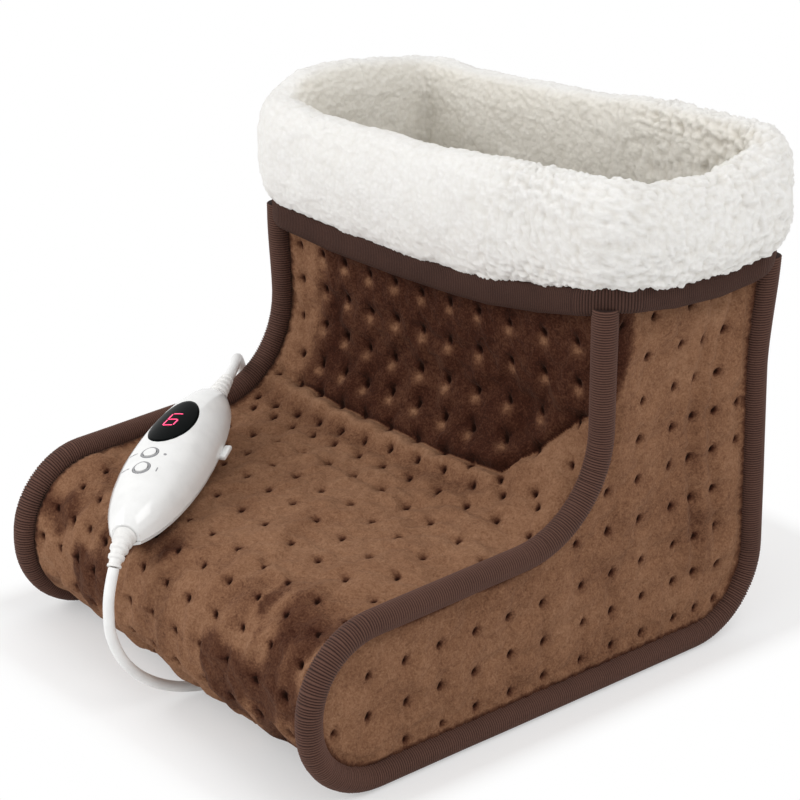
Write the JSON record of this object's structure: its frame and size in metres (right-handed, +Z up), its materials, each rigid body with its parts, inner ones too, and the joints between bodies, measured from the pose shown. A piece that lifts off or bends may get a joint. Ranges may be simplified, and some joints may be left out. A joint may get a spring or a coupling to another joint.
{
  "type": "electric foot warmer",
  "caption": "Quilted plush boot for both feet with a turned-over fleece cuff, an inner heating element, a hand control with number window and buttons, and a mains cord.",
  "frame": {"origin": "on the floor, at the middle of the boot's bounding box without its cord", "axes": "+Y from the toe to the heel, +Z up out of the shaft, +X across the boot"},
  "size_m": [0.3278, 0.4435, 0.2848],
  "materials": {
    "plush": "brown short-pile plush",
    "sole_cloth": "dark brown sole cloth",
    "tape": "dark brown ribbed tape",
    "fleece": "white curly pile",
    "foam": "cream foam",
    "carrier": "white felt",
    "wire_red": "red insulation",
    "sleeve": "cream sleeve",
    "black_part": "black moulded",
    "brass": "plain metal",
    "white_plastic": "glossy white",
    "dark_window": "smoked window",
    "grey_ring": "grey ring",
    "board": "green board",
    "yellow_part": "yellow box",
    "glass_fuse": "clear tube",
    "steel": "screw steel",
    "white_cord": "white cord jacket"
  },
  "bodies": {
    "boot": {"side_panel_left": "plush", "side_panel_right": "plush", "front_panel": "plush", "back_panel": "plush", "sole_panel": "sole_cloth", "side_binding_left": "tape", "side_binding_right": "tape", "hem_binding": "tape", "cuff": "fleece", "liner_side_left": "fleece", "liner_side_right": "fleece", "liner_front": "fleece", "liner_sole": "fleece", "liner_back": "fleece", "sole_foam": "foam", "heater_carrier": "carrier", "heating_wire": "wire_red", "inner_lead_rear": "wire_red", "thermal_cutout": "sleeve", "temperature_sensor": "black_part", "inner_lead_front": "black_part", "display_module": "black_part", "power_switch": "black_part", "tact_switch_upper": "black_part", "tact_switch_lower": "black_part", "coil_tie": "black_part", "splice_front": "brass", "splice_rear": "brass", "plug_pin_left": "brass", "plug_pin_right": "brass", "boot_inlet": "white_plastic", "control_top": "white_plastic", "control_base": "white_plastic", "relief_upper": "white_plastic", "relief_lower": "white_plastic", "plug_body": "white_plastic", "plug_relief": "white_plastic", "display_lens": "dark_window", "ring_upper": "grey_ring", "ring_lower": "grey_ring", "circuit_board": "board", "capacitor": "yellow_part", "control_fuse": "glass_fuse", "control_screw_left": "steel", "control_screw_right": "steel", "boot_lead": "white_cord", "mains_lead": "white_cord", "mains_coil": "white_cord", "plug_lead": "white_cord"},
    "upper_button": {"button_upper": "white_plastic"},
    "lower_button": {"button_lower": "white_plastic"}
  },
  "joints": [
    {"name": "upper_button_press", "type": "slide", "parent": "boot", "child": "upper_button", "axis": [-0.0431, 0.159, -0.9863], "range_m": [0, 0.0008], "stiffness_N_per_m": 800},
    {"name": "lower_button_press", "type": "slide", "parent": "boot", "child": "lower_button", "axis": [-0.0431, 0.159, -0.9863], "range_m": [0, 0.0008], "stiffness_N_per_m": 800}
  ]
}
